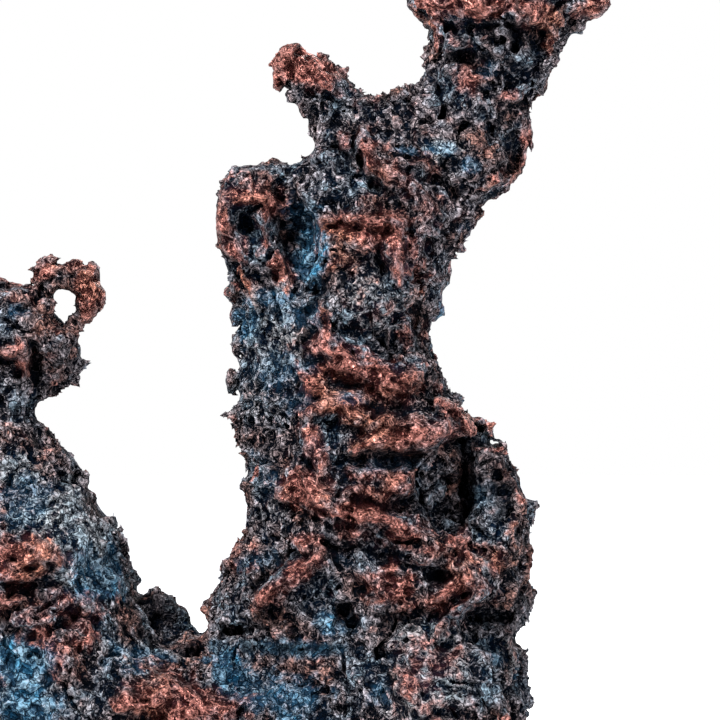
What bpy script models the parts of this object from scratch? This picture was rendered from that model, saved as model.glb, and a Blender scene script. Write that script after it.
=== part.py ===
# A branching nugget of native copper, standing on its own foot.
#
# The nugget forks like driftwood: a foot, a trunk with a lobe at its side, a crown and a spur at
# the trunk's top, and a left limb with a hooked head. Each limb is fused from rounded lumps, ledges
# and ridges, hollowed, roughened, and then parted from its neighbours at the forks.
# Lengths are in millimetres until metres() writes them. +Z is up and -Y is the nugget's front.
from itertools import product
from math import cos, pi, sin
from random import Random

import bmesh
import bpy
import numpy as np
from mathutils import Matrix, Vector

FORK_GAP = 0.3  # left between two limbs where they part
GRAIN = 0.6  # voxel that the lumps are fused at
FACES = 8400  # triangles of the whole nugget, before it is parted
SHARP_ANGLE = 0.7  # edges bent by more than this are drawn sharp, in radians
LUMP_SIZES = ((7.5, 1.8), (3.6, 1.3))  # (spacing, height) of the surface's own lumps
KNOBS = 5  # round each slice
KNOB_SIZE = (1.4, 3.0)  # half sizes of the smallest and the largest
SEED = (41.0, 17.0, 5.0)  # where the noise is read
CELL_MIX = np.array(((12.7, 26.9, 41.3), (31.1, 18.3, 7.7), (7.4, 24.6, 36.2)))  # scrambles cells
CELL_MEAN = 0.55  # usual distance to a cell's seed

# Forks: planes that part the limbs, as (point, normal). A limb is what lies past all of its planes.
SADDLE = (Vector((-7.2, 0, 18)), Vector((-1, 0, -0.1)).normalized())
HEAD_NECK = (Vector((-27, 0, 41.4)), Vector((0.15, 0, 1)).normalized())
ANKLE = (Vector((10, 0, 19.4)), Vector((0, 0, -1)))
LOBE_ROOT = (Vector((19.0, 0, 30)), Vector((1, 0, 0.03)).normalized())
LOBE_TOP = (Vector((21, 0, 43.6)), Vector((0, 0, -1)))
CROWN_FORK = (Vector((18, 0, 70.6)), Vector((0.5, 0, 0.87)).normalized())
SPUR_FORK = (Vector((7.4, 0, 71.2)), Vector((-0.7, 0, 0.72)).normalized())
SPUR_SOLE = (Vector((4, 0, 67.9)), Vector((0, 0, 1)))
SPUR_SIDE = (Vector((11.2, 0, 75)), Vector((-1, 0, 0)))
LIMBS = (
    ("left_head", (SADDLE, HEAD_NECK)),
    ("left_limb", (SADDLE,)),
    ("foot", (ANKLE,)),
    ("side_lobe", (LOBE_ROOT, LOBE_TOP)),
    ("spur", (SPUR_FORK, SPUR_SOLE, SPUR_SIDE)),
    ("crown", (CROWN_FORK,)),
)

# Finishes: (colour, roughness, metallic) of each limb.
FINISHES = {
    "left_head": ((0.16, 0.075, 0.055), 0.5, 0.7),
    "left_limb": ((0.10, 0.105, 0.12), 0.62, 0.45),
    "foot": ((0.085, 0.075, 0.08), 0.62, 0.5),
    "trunk": ((0.15, 0.085, 0.07), 0.52, 0.65),
    "side_lobe": ((0.085, 0.08, 0.08), 0.62, 0.5),
    "spur": ((0.22, 0.10, 0.085), 0.45, 0.75),
    "crown": ((0.12, 0.075, 0.07), 0.55, 0.6),
}

GROUND = (Vector((0, 0, 0)), Vector((0, 0, 1)))  # the resting face

# Slices: (z, left, right, front, back, half height) of one flattened lump each.
FOOT = (
    (3.4, -3.4, 23.4, -14.5, 15.0, 6.0),
    (8.0, -5.8, 25.0, -18.0, 17.5, 6.0),
    (12.5, -6.8, 26.0, -18.6, 18.2, 6.0),
    (16.5, -7.0, 25.8, -16.5, 17.0, 5.0),
    (19.5, -6.6, 24.6, -15.0, 16.4, 4.0),
    (22.5, -6.4, 22.0, -13.6, 15.6, 4.0),
)
SADDLE_BRIDGE = (
    (9.4, -20.0, 4.0, -12.0, 12.5, 6.0),
    (12.6, -16.0, 2.0, -12.5, 13.5, 6.2),
    (14.8, -15.0, -4.0, -8.0, 10.0, 4.0),
)
TRUNK = (
    (26.0, -4.6, 20.0, -13.2, 15.0, 4.6),
    (30.0, -2.6, 19.2, -13.0, 13.8, 4.2),
    (34.0, -2.8, 18.6, -12.4, 12.6, 4.2),
    (38.0, -3.0, 19.0, -11.4, 12.4, 4.0),
    (41.6, -3.4, 19.4, -10.6, 11.8, 3.8),
    (45.0, -3.4, 17.4, -10.2, 10.8, 4.0),
    (49.0, -3.8, 16.2, -9.8, 11.0, 4.2),
    (53.0, -4.2, 16.4, -9.8, 10.6, 4.2),
    (57.0, -4.8, 18.2, -9.8, 9.8, 4.0),
    (60.4, -4.0, 20.4, -9.6, 9.4, 3.6),
    (63.6, -0.6, 22.8, -9.2, 9.2, 3.4),
    (66.6, 2.6, 25.2, -8.8, 8.8, 3.2),
    (69.6, 6.0, 26.0, -8.4, 8.4, 3.2),
)
SIDE_LOBE = (
    (21.0, 17.0, 25.8, -8.5, 8.5, 3.4),
    (24.6, 18.0, 26.2, -9.0, 9.0, 3.6),
    (28.4, 18.2, 26.0, -8.8, 9.0, 3.6),
    (32.0, 18.6, 25.8, -8.0, 8.4, 3.4),
    (35.0, 18.4, 24.0, -6.6, 6.8, 2.6),
    (37.2, 18.6, 22.6, -5.2, 5.2, 2.0),
    (39.4, 19.6, 22.2, -3.4, 3.4, 1.3),
)
CROWN = (
    (72.0, 10.0, 26.0, -7.8, 8.0, 2.3),
    (74.8, 15.0, 26.8, -7.6, 8.0, 2.6),
    (78.2, 15.6, 29.2, -7.6, 8.0, 3.2),
    (81.2, 15.8, 31.4, -8.0, 8.6, 3.0),
    (84.0, 14.4, 33.2, -8.4, 9.0, 2.8),
    (86.2, 17.4, 30.6, -6.4, 7.4, 2.4),
)
LEFT_LIMB = (
    (4.0, -31.5, -13.0, -14.0, 14.0, 6.0),
    (9.0, -33.6, -10.6, -17.0, 16.0, 6.0),
    (14.0, -34.0, -10.4, -17.4, 16.4, 6.0),
    (19.0, -33.6, -12.4, -15.6, 15.0, 5.4),
    (23.6, -33.0, -13.8, -14.0, 13.4, 5.0),
    (28.0, -31.2, -14.4, -12.4, 12.0, 4.6),
    (32.0, -32.0, -16.8, -10.8, 11.0, 4.2),
    (35.6, -32.6, -19.4, -8.8, 9.4, 3.6),
    (38.6, -31.4, -22.2, -6.4, 7.4, 2.8),
)
LEFT_HEAD = (
    (41.6, -30.2, -25.0, -4.6, 5.6, 2.6),
    (44.8, -32.4, -20.6, -5.4, 6.2, 2.6),
    (47.4, -32.8, -18.8, -5.8, 6.8, 2.6),
    (50.4, -33.2, -21.6, -5.0, 6.8, 2.8),
    (52.8, -31.6, -23.6, -3.6, 5.4, 1.6),
)

# Lumps: (x, y, z) of the centre, then half sizes along X, Y and Z.
LUMPS = (
    (15.5, -14.0, 13.5, 7.5, 5.2, 7.0),
    (2.0, -13.6, 9.0, 6.6, 5.4, 6.4),
    (4.0, 14.4, 9.0, 8.0, 5.0, 8.0),
    (19.0, 12.6, 7.6, 5.6, 6.0, 6.4),
    (-10.9, 5.5, 20.4, 3.0, 4.2, 3.2),
    (-12.0, -13.5, 11.0, 5.0, 3.4, 4.6),
    (9.0, 10.6, 33.0, 6.5, 5.0, 8.0),
    (2.6, 9.2, 47.0, 5.0, 4.4, 6.0),
    (12.6, 8.4, 56.0, 5.4, 4.0, 6.4),
    (-2.2, -3.6, 62.4, 3.0, 4.4, 4.0),
    (-3.0, -3.4, 58.6, 2.2, 4.6, 3.2),
    (-1.4, -0.6, 64.2, 3.2, 3.4, 2.2),
    (6.4, -1.0, 66.0, 3.4, 5.0, 3.6),
    (19.6, -6.6, 67.6, 3.6, 3.4, 4.2),
    (9.8, -1.5, 71.2, 2.8, 4.4, 2.2),
    (12.6, -1.0, 71.8, 2.8, 4.4, 2.4),
    (6.8, -1.6, 72.0, 3.0, 4.0, 2.8),
    (6.3, -2.0, 74.2, 2.3, 3.2, 2.0),
    (3.8, -2.2, 75.8, 2.5, 3.0, 2.6),
    (2.1, -2.4, 76.0, 1.9, 2.6, 2.4),
    (6.2, -0.6, 69.6, 1.9, 3.4, 2.4),
    (16.6, -2.0, 84.8, 3.0, 4.4, 2.6),
    (30.6, 1.0, 85.6, 3.2, 4.4, 2.6),
    (32.4, -2.0, 82.8, 1.8, 3.0, 1.4),
    (-17.0, -12.8, 11.0, 6.0, 5.0, 6.6),
    (-27.0, 11.0, 14.0, 6.0, 6.0, 8.4),
    (-18.6, 10.4, 22.0, 5.0, 5.0, 6.0),
    (-27.0, -11.4, 25.0, 4.6, 4.2, 4.6),
)

# Ledges: slabs that stand proud of the front, as lumps with flat faces.
LEDGES = (
    (9.6, -8.6, 56.4, 4.7, 2.8, 4.0),  # squared block high on the trunk
    (14.0, -11.2, 24.6, 4.6, 2.4, 3.5),  # smooth sheet low on the trunk
    (-8.6, -11.6, 12.6, 5.6, 2.8, 1.6),  # slab across the saddle's front
)

# Beads along the loop of the left head: (radius, point).
HOOK = (
    (1.3, (-25.4, 0.5, 53.4)),
    (1.3, (-23.4, 0.4, 55.0)),
    (1.45, (-22.2, 0.3, 56.2)),
    (1.25, (-20.4, 0.1, 56.0)),
    (1.25, (-19.0, 0.0, 55.0)),
    (1.25, (-18.1, 0.0, 53.6)),
    (1.15, (-18.5, 0.1, 52.2)),
    (1.1, (-18.9, 0.2, 50.6)),
    (1.2, (-20.4, 0.3, 49.6)),
)
# Ridges: (radius, points along the ridge).
RIDGES = (
    (1.3, ((-3.9, -5.8, 57.6), (-4.3, -6.8, 61.0), (-3.4, -7.6, 63.4), (-0.4, -7.4, 63.8))),
    (1.3, ((5.2, -10.0, 48.2), (7.4, -10.4, 46.8), (11.0, -10.2, 46.2), (15.0, -8.4, 46.4))),
    (1.4, ((4.2, -10.8, 42.4), (7.0, -11.2, 42.8), (9.2, -11.2, 41.2))),
    (1.5, ((8.0, -11.6, 38.8), (11.5, -11.6, 39.0), (15.5, -10.2, 39.6), (19.0, -6.6, 40.6))),
    (1.6, ((4.2, -11.4, 40.2), (4.8, -12.0, 37.6), (4.4, -12.8, 34.6), (2.6, -12.4, 33.8))),
    (1.4, ((8.0, -12.6, 34.4), (11.4, -12.4, 33.8), (14.6, -10.8, 35.2))),
    (1.8, ((4.4, -13.2, 32.8), (8.4, -13.6, 31.6), (12.6, -13.0, 30.0), (16.4, -11.0, 28.0))),
    (1.6, ((-0.6, -12.4, 22.8), (1.8, -13.2, 25.0), (3.8, -13.4, 26.6), (4.6, -13.2, 28.2))),
    (1.7, ((16.4, -12.6, 21.8), (18.6, -12.0, 23.6), (21.4, -10.2, 25.4), (23.6, -7.8, 26.0))),
    (1.2, ((10.4, -8.4, 68.0), (12.0, -9.4, 65.8), (14.6, -9.8, 64.0), (15.2, -9.8, 61.4))),
    (1.5, ((-28.0, -13.4, 26.8), (-24.6, -14.4, 26.4), (-21.6, -13.6, 27.8))),
    (1.4, ((-25.0, -16.0, 21.2), (-21.6, -16.8, 19.2), (-20.2, -17.4, 15.8))),
    (1.5, ((16.4, -7.0, 83.0), (20.6, -8.6, 83.4), (24.0, -9.2, 82.2), (27.8, -8.4, 83.2))),
    (1.3, ((28.6, -6.0, 80.4), (27.8, -7.0, 77.4), (25.8, -8.0, 74.2))),
    (1.6, ((6.0, 11.6, 52.0), (9.0, 12.4, 47.0), (8.0, 13.8, 40.0), (11.0, 14.6, 34.0))),
    (1.6, ((-26.0, 14.8, 21.0), (-23.0, 16.4, 16.0), (-24.5, 16.8, 10.0))),
)

# Spikes: (x, y, z) of the root and of the tip, and the root's radius.
SPIKES = (
    ((-3.2, 0.0, 41.4), (-4.9, -0.4, 42.1), 0.9),
    ((0.0, -1.0, 65.6), (0.3, -1.0, 67.5), 0.8),
    ((1.4, -2.6, 75.0), (0.8, -2.6, 73.2), 0.9),
    ((-24.4, 1.0, 40.0), (-24.2, 0.8, 41.8), 0.8),
    ((25.6, -1.0, 69.2), (26.7, -1.0, 69.3), 0.9),
    ((-20.2, 0.6, 45.0), (-19.9, 0.6, 43.5), 0.8),
)

# Hollows: bowls pressed in along Y, (x, y, z) of the centre and half sizes.
HOLLOWS = (
    (3.0, -9.4, 58.4, 2.4, 5.6, 5.6),  # beside the squared block
    (0.2, -8.2, 61.4, 1.7, 3.2, 1.5),  # under the shoulder's rim
    (8.0, -15.2, 20.8, 2.2, 5.0, 2.1),  # below the long fold
    (19.0, -10.2, 34.6, 1.4, 7.5, 5.8),  # between trunk and side lobe
    (17.2, -13.4, 26.2, 1.2, 3.0, 1.0),  # window in the sheet
    (22.0, -9.8, 20.8, 3.2, 3.8, 1.4),  # under the side lobe's bar
    (20.2, -9.0, 77.4, 1.6, 3.6, 1.9),  # crown, left pit
    (26.4, -8.6, 75.8, 1.4, 3.4, 1.6),  # crown, right pit
    (9.2, -8.0, 68.6, 1.0, 3.4, 3.0),  # crack under the spur
    (-23.8, -5.4, 46.4, 1.0, 3.6, 2.1),  # left head's pit
    (-25.2, -15.2, 23.6, 4.0, 2.6, 1.1),  # under the left limb's patch
    (4.0, -14.8, 18.8, 3.6, 2.6, 1.2),  # along the ankle
    (-4.6, -15.4, 16.4, 2.2, 4.0, 2.4),  # pocket beside the saddle
    (10.0, 13.6, 25.6, 3.2, 4.0, 2.6),  # back of the trunk
    (17.5, 9.0, 64.6, 2.4, 4.0, 2.4),  # back of the crown's root
    (-14.5, 13.6, 16.0, 3.0, 3.6, 2.4),  # back of the saddle
)


def metres(value):
    return value * 0.001


def clear_scene():
    for old in list(bpy.data.objects):
        bpy.data.objects.remove(old, do_unlink=True)


def add_lump(bm, lump, detail=2):
    """One rounded lump: an icosphere stretched to its half sizes."""
    x, y, z, half_x, half_y, half_z = lump
    place = Matrix.Translation((x, y, z)) @ Matrix.Diagonal((half_x, half_y, half_z, 1))
    bmesh.ops.create_icosphere(bm, subdivisions=detail, radius=1.0, matrix=place)


def add_slice(bm, piece):
    """One lump that spans from left to right and from front to back at its height."""
    z, left, right, front, back, half_z = piece
    middle_x, middle_y = (left + right) / 2, (front + back) / 2
    add_lump(bm, (middle_x, middle_y, z, (right - left) / 2, (back - front) / 2, half_z), detail=3)


def add_knobs(bm, piece, chance):
    """Knobs round a slice, on its front and its back, where they leave the side outline alone."""
    z, left, right, front, back, half_z = piece
    for _ in range(KNOBS):
        side = chance.choice((-1, 1))
        angle = chance.uniform(0.3, 0.7) * pi * side
        size = min(chance.uniform(*KNOB_SIZE), half_z)
        x = (left + right) / 2 + (right - left) / 2 * 0.86 * cos(angle)
        y = (front + back) / 2 + (back - front) / 2 * 0.94 * sin(angle)
        up = z + chance.uniform(-0.4, 0.4) * half_z
        add_lump(bm, (x, y, up, size, size * 0.8, size * chance.uniform(0.6, 1.0)))


def add_ledge(bm, ledge):
    """One slab with flat faces, tipped a little from the upright."""
    x, y, z, half_x, half_y, half_z = ledge
    tip = Matrix.Rotation(0.12, 4, "X") @ Matrix.Rotation(-0.1, 4, "Y")
    size = Matrix.Diagonal((half_x * 2, half_y * 2, half_z * 2, 1))
    bmesh.ops.create_cube(bm, size=1.0, matrix=Matrix.Translation((x, y, z)) @ tip @ size)


def add_ridge(bm, beads):
    """A ridge as overlapping beads: beads is a list of (radius, point), joined by straight runs."""
    for (radius_a, a), (radius_b, b) in zip(beads, beads[1:]):
        a, b = Vector(a), Vector(b)
        steps = max(1, round((b - a).length / (0.5 * min(radius_a, radius_b))))
        for step in range(steps + 1):
            share = step / steps
            x, y, z = a.lerp(b, share)
            radius = radius_a + (radius_b - radius_a) * share
            add_lump(bm, (x, y, z, radius, radius, radius), detail=1)


def add_spike(bm, root, tip, radius):
    root, tip = Vector(root), Vector(tip)
    turn = (tip - root).to_track_quat("Z", "Y").to_matrix().to_4x4()
    middle = Matrix.Translation((root + tip) / 2)
    bmesh.ops.create_cone(bm, cap_ends=True, segments=6, radius1=radius, radius2=0.25,
                          depth=(tip - root).length + radius, matrix=middle @ turn)


def object_from(bm, name):
    mesh = bpy.data.meshes.new(name)
    bm.to_mesh(mesh)
    bm.free()
    made = bpy.data.objects.new(name, mesh)
    bpy.context.scene.collection.objects.link(made)
    return made


def applied(made):
    """Replaces the object's mesh with its evaluated one and drops its modifiers."""
    graph = bpy.context.evaluated_depsgraph_get()
    mesh = bpy.data.meshes.new_from_object(made.evaluated_get(graph))
    made.modifiers.clear()
    made.data = mesh
    return made


def fused(made, voxel):
    """Joins overlapping closed shapes into one skin."""
    remesh = made.modifiers.new("Fuse", "REMESH")
    remesh.mode = "VOXEL"
    remesh.voxel_size = voxel
    return applied(made)


def combine(made, other, operation):
    boolean = made.modifiers.new(operation, "BOOLEAN")
    boolean.operation = operation
    boolean.solver = "EXACT"
    boolean.use_self = True
    boolean.object = other
    return applied(made)


def largest_island(made):
    """Keeps the body with the most vertices, and drops crumbs and sealed bubbles."""
    bm = bmesh.new()
    bm.from_mesh(made.data)
    left, islands = set(bm.verts), []
    while left:
        start = left.pop()
        island, todo = {start}, [start]
        while todo:
            for edge in todo.pop().link_edges:
                for vertex in edge.verts:
                    if vertex in left:
                        left.discard(vertex)
                        island.add(vertex)
                        todo.append(vertex)
        islands.append(island)
    islands.sort(key=len)
    crumbs = [vertex for island in islands[:-1] for vertex in island]
    bmesh.ops.delete(bm, geom=crumbs, context="VERTS")
    bm.to_mesh(made.data)
    bm.free()
    return made


def press_in(made, hollow):
    """Presses a bowl into the front, or into the back for a hollow whose centre is at Y > 0."""
    x, y, z, half_x, half_y, half_z = hollow
    inward = -1 if y > 0 else 1
    for vertex in made.data.vertices:
        across = ((vertex.co.x - x) / half_x) ** 2 + ((vertex.co.z - z) / half_z) ** 2
        if across < 1 and vertex.co.y * inward < 0:
            floor = y + inward * half_y * (1 - across) ** 0.5
            if (floor - vertex.co.y) * inward > 0:
                vertex.co.y = floor


def cell_distance(points):
    """Distance from each point to the nearest of one jittered seed per unit cell."""
    nearest = np.full(len(points), 9.0)
    for step in product((-1, 0, 1), repeat=3):
        cell = np.floor(points) + step
        jitter = np.sin(cell @ CELL_MIX) * 4375.85
        seed = cell + jitter - np.floor(jitter)
        nearest = np.minimum(nearest, np.linalg.norm(points - seed, axis=1))
    return nearest


def roughen(made):
    """Raises the surface's own lumps, each size from its own noise, along the normals."""
    vertices = made.data.vertices
    points = np.array([vertex.co for vertex in vertices])
    normals = np.array([vertex.normal for vertex in vertices])
    for spacing, height in LUMP_SIZES:
        rise = height * (CELL_MEAN - cell_distance(points / spacing + SEED))
        points += normals * rise[:, None]
    vertices.foreach_set("co", points.ravel())
    made.data.update()
    return made


def thinned(made, faces):
    made.data.calc_loop_triangles()
    thin = made.modifiers.new("Thin", "DECIMATE")
    thin.ratio = faces / len(made.data.loop_triangles)
    return applied(made)


def centre_of_box(made):
    """The middle of the nugget's box, along X and Y."""
    xs = [vertex.co.x for vertex in made.data.vertices]
    ys = [vertex.co.y for vertex in made.data.vertices]
    return Vector(((min(xs) + max(xs)) / 2, (min(ys) + max(ys)) / 2, 0))


def block_past(name, planes, shift):
    """A large block that lies past every plane, each moved along its normal by shift, as a cutter."""
    bm = bmesh.new()
    bmesh.ops.create_cube(bm, size=400.0)
    for point, normal in planes:
        geometry = bm.verts[:] + bm.edges[:] + bm.faces[:]
        cut = bmesh.ops.bisect_plane(bm, geom=geometry, plane_co=point + normal * shift,
                                     plane_no=normal, clear_inner=True)
        edges = [item for item in cut["geom_cut"] if isinstance(item, bmesh.types.BMEdge)]
        bmesh.ops.edgeloop_fill(bm, edges=edges)
    bmesh.ops.recalc_face_normals(bm, faces=bm.faces)
    return object_from(bm, name)


def finish_for(name):
    """The limb's own material: copper, tinted by how much of it is bright metal or patina."""
    colour, roughness, metallic = FINISHES[name]
    made = bpy.data.materials.new(name + "_copper")
    made.use_nodes = True
    shader = made.node_tree.nodes["Principled BSDF"]
    shader.inputs["Base Color"].default_value = (*colour, 1)
    shader.inputs["Roughness"].default_value = roughness
    shader.inputs["Metallic"].default_value = metallic
    return made


def rounded_whole():
    """Every lump, slice, ledge, ridge and spike, fused into one skin."""
    bm = bmesh.new()
    chance = Random(7)
    for limb in (FOOT, SADDLE_BRIDGE, TRUNK, SIDE_LOBE, CROWN, LEFT_LIMB, LEFT_HEAD):
        for piece in limb:
            add_slice(bm, piece)
            add_knobs(bm, piece, chance)
    for lump in LUMPS:
        add_lump(bm, lump)
    for ledge in LEDGES:
        add_ledge(bm, ledge)
    add_ridge(bm, HOOK)
    for radius, points in RIDGES:
        add_ridge(bm, [(radius, point) for point in points])
    for root, tip, radius in SPIKES:
        add_spike(bm, root, tip, radius)
    return fused(object_from(bm, "body"), GRAIN)


def nugget():
    """The whole nugget as one skin, before it is parted into limbs."""
    body = rounded_whole()
    for hollow in HOLLOWS:
        press_in(body, hollow)
    fused(body, GRAIN)
    roughen(body)
    fused(body, GRAIN)
    largest_island(body)
    thinned(body, FACES)
    return body


def cut_with(made, planes, shift, operation):
    cutter = block_past("cutter", planes, shift)
    combine(made, cutter, operation)
    bpy.data.objects.remove(cutter)


def part_limbs(body):
    """Takes the limbs off one by one, leaving half of the gap on each side of a fork."""
    cut_with(body, [GROUND], 0.0, "INTERSECT")
    pieces = [body]
    for name, planes in LIMBS:
        limb = bpy.data.objects.new(name, body.data.copy())
        bpy.context.scene.collection.objects.link(limb)
        cut_with(limb, planes, FORK_GAP / 2, "INTERSECT")
        cut_with(body, planes, -FORK_GAP / 2, "DIFFERENCE")
        pieces.append(limb)
    body.name = "trunk"
    return pieces


def finish(pieces, middle):
    """Centres the nugget over its origin, in metres, and gives every limb its material."""
    centred = Matrix.Translation(-middle)
    for piece in pieces:
        largest_island(piece)
        piece.data.transform(Matrix.Scale(metres(1.0), 4) @ centred)
        piece.data.materials.clear()
        piece.data.materials.append(finish_for(piece.name))
        piece.data.shade_smooth()
        piece.data.set_sharp_from_angle(angle=SHARP_ANGLE)


clear_scene()
whole = nugget()
box_middle = centre_of_box(whole)
finish(part_limbs(whole), box_middle)
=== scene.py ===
# A branching nugget of native copper, dressed over its plain limbs.
# Lengths are in millimetres inside this script, and in metres on the finished meshes.
import time
from itertools import product
from math import radians

import bmesh
import bpy
import numpy as np
import openvdb
from mathutils import Euler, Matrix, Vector


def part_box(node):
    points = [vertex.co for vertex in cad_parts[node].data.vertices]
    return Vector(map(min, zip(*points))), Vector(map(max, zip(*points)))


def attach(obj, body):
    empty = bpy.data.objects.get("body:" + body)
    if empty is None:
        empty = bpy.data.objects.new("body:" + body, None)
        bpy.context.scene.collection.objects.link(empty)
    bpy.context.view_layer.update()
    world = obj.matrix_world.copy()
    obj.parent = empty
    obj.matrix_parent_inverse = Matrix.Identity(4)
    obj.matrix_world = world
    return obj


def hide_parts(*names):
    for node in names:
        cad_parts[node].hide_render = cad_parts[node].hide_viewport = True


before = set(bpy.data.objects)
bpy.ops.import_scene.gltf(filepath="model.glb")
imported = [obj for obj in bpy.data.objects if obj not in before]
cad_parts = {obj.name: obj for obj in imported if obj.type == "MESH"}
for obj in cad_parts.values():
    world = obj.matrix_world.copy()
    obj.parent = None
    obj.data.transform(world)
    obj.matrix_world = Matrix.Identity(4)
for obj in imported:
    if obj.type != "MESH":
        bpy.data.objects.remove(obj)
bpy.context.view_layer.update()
startedAt = time.time()


def say(stage):
    print(f"{time.time() - startedAt:5.1f} s  {stage}", flush=True)


# the grids that the nugget is shaped on
grid = {
    "coarse": 0.5,  # one cell while the limbs are melted together
    "middle": 0.42,  # one cell while knobs, folds and pits are laid on
    "room": 3.5,  # left round the limbs
    "broadBand": 2.8,  # how far from the plain surface the broad dressing reaches
    "fineBand": 1.1,  # and the fine dressing from the broad one
    "melt": 1.3,  # how far limbs run into each other over their gaps
    "soften": 3,  # blur passes that take the facets off
}

limbBoxes = np.array([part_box(name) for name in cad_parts]) * 1000
lowCorner = limbBoxes[:, 0].min(axis=0) - grid["room"]
highCorner = limbBoxes[:, 1].max(axis=0) + grid["room"]
coarseShape = np.ceil((highCorner - lowCorner) / grid["coarse"]).astype(int) + 1


def limbField(node):
    # signed distance to one limb, below zero inside it
    mesh = node.data
    mesh.calc_loop_triangles()
    points = np.empty(len(mesh.vertices) * 3, np.float32)
    mesh.vertices.foreach_get("co", points)
    faces = np.empty(len(mesh.loop_triangles) * 3, np.int32)
    mesh.loop_triangles.foreach_get("vertices", faces)
    points = (points.reshape(-1, 3) * 1000 - lowCorner).astype(np.float32)
    levels = openvdb.FloatGrid.createLevelSetFromPolygons(
        points, triangles=faces.reshape(-1, 3).astype(np.uint32),
        transform=openvdb.createLinearTransform(voxelSize=grid["coarse"]),
        halfWidth=grid["room"] / grid["coarse"] + 2)
    field = np.zeros(coarseShape, np.float32)
    levels.copyToArray(field)
    return field


def meltTogether(a, b, reach):
    # the lower of two distances, rounded where they are close
    close = np.clip(reach - np.abs(a - b), 0, None) / reach
    return np.minimum(a, b) - close * close * reach * 0.25


def blurred(field, passes):
    for _ in range(passes):
        for axis in range(field.ndim):
            padded = np.pad(field, [(1, 1) if i == axis else (0, 0) for i in range(field.ndim)], mode="edge")
            size = field.shape[axis]
            before, after = np.take(padded, range(size), axis), np.take(padded, range(2, size + 2), axis)
            field = field * 0.5 + (before + after) * 0.25
    return field


def regridded(field, cell, low, newCell, shape):
    # the field read at the points of another grid whose first point is low
    for axis in range(3):
        at = (low[axis] - lowCorner[axis] + np.arange(shape[axis]) * newCell) / cell
        at = np.clip(at, 0, field.shape[axis] - 1.001)
        lower = at.astype(int)
        share = (at - lower).astype(np.float32).reshape([-1 if i == axis else 1 for i in range(3)])
        field = np.take(field, lower, axis) * (1 - share) + np.take(field, lower + 1, axis) * share
    return field


def readAt(field, cell, low, points):
    # the field read at scattered points
    at = np.clip((points - low) / cell, 0, np.array(field.shape) - 1.001)
    lower = at.astype(int)
    share = (at - lower).astype(np.float32)
    total = np.zeros(len(points), np.float32)
    for step in product((0, 1), repeat=3):
        weight = np.ones(len(points), np.float32)
        for axis in range(3):
            weight *= share[:, axis] if step[axis] else 1 - share[:, axis]
        total += weight * field[lower[:, 0] + step[0], lower[:, 1] + step[1], lower[:, 2] + step[2]]
    return total


plain = None
for name, node in sorted(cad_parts.items()):
    limb = limbField(node)
    plain = limb if plain is None else meltTogether(plain, limb, grid["melt"])
plain = blurred(plain, grid["soften"])
say("limbs melted together")

# noise from tables of chance numbers that repeat after so many cells, a power of two
tableCells = 64
seedRoom = 0.8  # the share of its cell that a seed may stray over
chance = np.random.default_rng(11)
seedTable = (0.5 + (chance.random((tableCells ** 3, 3)) - 0.5) * seedRoom).astype(np.float32)
valueTable = chance.random(tableCells ** 3).astype(np.float32)


def turned(points, shift, stretch=(1, 1, 1)):
    # the same points turned, so that no noise lines up with another
    turn = np.array(Euler((0.6 + shift, 1.1 - shift * 0.7, 0.4 + shift * 1.3)).to_matrix(), np.float32)
    return points @ (turn * np.array(stretch, np.float32))


def cellOf(base, step):
    # where a cell stands in the tables
    i, j, k = ((base[:, axis] + step[axis]) & (tableCells - 1) for axis in range(3))
    return (i * tableCells + j) * tableCells + k


def pebbles(points, spacing, shift=0.0):
    # distance to the nearest seed, as a share of the spacing
    at = turned(points, shift) / np.float32(spacing) + np.float32(shift * 10)
    base = np.floor(at - 0.5).astype(np.int32)
    nearest = np.full(len(at), 9.0, np.float32)
    for step in product((0, 1), repeat=3):
        seed = seedTable[cellOf(base, step)] + (base + np.array(step, np.int32)).astype(np.float32)
        gap = at - seed
        nearest = np.minimum(nearest, np.einsum("ij,ij->i", gap, gap))
    return np.sqrt(nearest)


def clouds(points, spacing, shift=0.0, stretch=(1, 1, 1)):
    # smooth noise from 0 to 1
    at = (turned(points, shift, stretch) / np.float32(spacing) + np.float32(shift * 10)).astype(np.float32)
    base = np.floor(at).astype(np.int32)
    share = at - base
    share = share * share * (3 - 2 * share)
    total = np.zeros(len(at), np.float32)
    for step in product((0, 1), repeat=3):
        weight = np.ones(len(at), np.float32)
        for axis in range(3):
            weight *= share[:, axis] if step[axis] else 1 - share[:, axis]
        total += weight * valueTable[cellOf(base, step)]
    return total


def crests(points, spacing, shift=0.0, stretch=(1, 1, 1)):
    # winding thin crests: 1 on a crest, near 0 in the furrows
    return (1 - np.abs(2 * clouds(points, spacing, shift, stretch) - 1)) ** 2


def ramp(value, low, high):
    share = np.clip((value - low) / (high - low), 0, 1)
    return share * share * (3 - 2 * share)


# Places on the front are read off a chart: tenths of a millimetre to the right and down from its corner.
chart = {
    "left": -26.883,
    "top": 83.0,
    "unit": 0.1,
    "fade": (4.0, 8.0),  # depths over which it fades out, inward from its own side
    "frontLead": 3.0,  # and the front's holds this far beyond the middle
    "drift": 9.0,  # twice how far its forms drift on the sides, so that none runs straight across them
    "driftSpacing": 4.5,
    "driftSeeds": (3.7, 5.9),
    "aside": (1.5, 3.2),  # slopes over which that sets in
    "setBack": (3.0, 7.0),  # and depths behind what stands foremost
    "foremost": 10,  # which is looked for among so many cells round about
}
chartShape = tuple(np.ceil((highCorner - lowCorner)[[0, 2]] / chart["unit"]).astype(int) + 1)


def placeOn(spot):
    return np.array((chart["left"] + spot[0] * chart["unit"], chart["top"] - spot[1] * chart["unit"]))


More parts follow.
